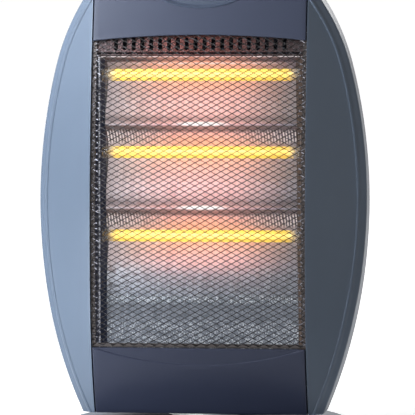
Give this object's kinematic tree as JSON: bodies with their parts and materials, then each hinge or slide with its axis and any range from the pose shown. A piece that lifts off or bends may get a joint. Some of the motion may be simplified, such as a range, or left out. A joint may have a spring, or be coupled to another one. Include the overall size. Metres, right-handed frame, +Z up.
{
  "type": "halogen heater",
  "caption": "Oval halogen heater: glowing quartz tubes in a polished reflector behind a wire guard, rocker switches at the top, on a round base that lets the head swing.",
  "frame": {"origin": "on the floor, under the axis that the head swings on", "axes": "+Z up, the heater's front faces -Y, +X to the right of a person who looks at the front"},
  "size_m": [0.3278, 0.3, 0.5222],
  "materials": {
    "shell": "dark blue-grey moulded plastic",
    "cover": "light blue-grey moulded plastic",
    "trim": "grey moulded plastic",
    "base_plastic": "warm grey moulded plastic",
    "bright_steel": "nickel-plated steel",
    "polished": "mirror-polished sheet",
    "steel": "zinc-plated steel",
    "quartz": "clear quartz, glowing pale yellow",
    "wire": "glowing resistance wire",
    "ceramic": "off-white ceramic",
    "contact": "brass tabs",
    "sleeve": "white glass-fibre sleeve",
    "black_plastic": "black plastic",
    "nylon": "natural nylon",
    "rubber_black": "black rubber"
  },
  "bodies": {
    "base": {"base_cover": "base_plastic", "base_plate": "steel", "base_feet": "rubber_black", "base_screws": "steel", "tilt_switch": "black_plastic", "cord_grommet": "rubber_black", "pivot_tube": "steel", "pivot_nut": "steel", "swing_arm": "steel", "thrust_washer": "black_plastic"},
    "head": {"top_panel": "shell", "control_panel": "trim", "bottom_panel": "shell", "side_cover_left": "cover", "side_cover_right": "cover", "rear_cover": "shell", "handle_cup": "trim", "guard_net": "bright_steel", "guard_frame": "bright_steel", "reflector": "polished", "quartz_tubes": "quartz", "filaments": "wire", "ceramic_caps": "ceramic", "tube_terminals": "contact", "tube_bracket_left": "steel", "tube_bracket_right": "steel", "bracket_screws": "steel", "wiring_left": "sleeve", "wiring_right": "sleeve", "wiring_neck": "sleeve", "terminal_blocks": "ceramic", "thermal_cutout": "black_plastic", "switch_housings": "black_plastic", "rear_screws": "steel", "swivel_plate": "steel", "swivel_bush": "nylon", "swing_motor": "steel", "motor_bridge": "steel", "drive_screws": "steel"},
    "crank": {"swing_crank": "nylon"},
    "rocker_low": {"rocker_low": "black_plastic"},
    "rocker_high": {"rocker_high": "black_plastic"},
    "rocker_swing": {"rocker_swing": "black_plastic"},
    "plunger": {"tilt_plunger": "nylon"}
  },
  "joints": [
    {"name": "head_swing", "type": "hinge", "parent": "base", "child": "head", "pos_m": [0, 0, 0.036], "axis": [0, 0, 1], "range_deg": [-30, 30]},
    {"name": "crank_turn", "type": "hinge", "parent": "head", "child": "crank", "pos_m": [0.024, 0, 0.054], "axis": [0, 0, 1], "range_deg": [-120, 120]},
    {"name": "rocker_low_press", "type": "hinge", "parent": "head", "child": "rocker_low", "pos_m": [-0.032, -0.00929, 0.47292], "axis": [1, 0, 0], "range_deg": [-16, 0]},
    {"name": "rocker_high_press", "type": "hinge", "parent": "head", "child": "rocker_high", "pos_m": [0, -0.00929, 0.47292], "axis": [1, 0, 0], "range_deg": [-16, 0]},
    {"name": "rocker_swing_press", "type": "hinge", "parent": "head", "child": "rocker_swing", "pos_m": [0.032, -0.00929, 0.47292], "axis": [1, 0, 0], "range_deg": [-16, 0]},
    {"name": "plunger_slide", "type": "slide", "parent": "base", "child": "plunger", "axis": [0, 0, 1], "range_m": [-0.003, 0], "stiffness_N_per_m": 100, "springref_m": -0.006}
  ],
  "couplings": [
    {"joint": "crank_turn", "follows": "head_swing", "ratio": -4}
  ]
}
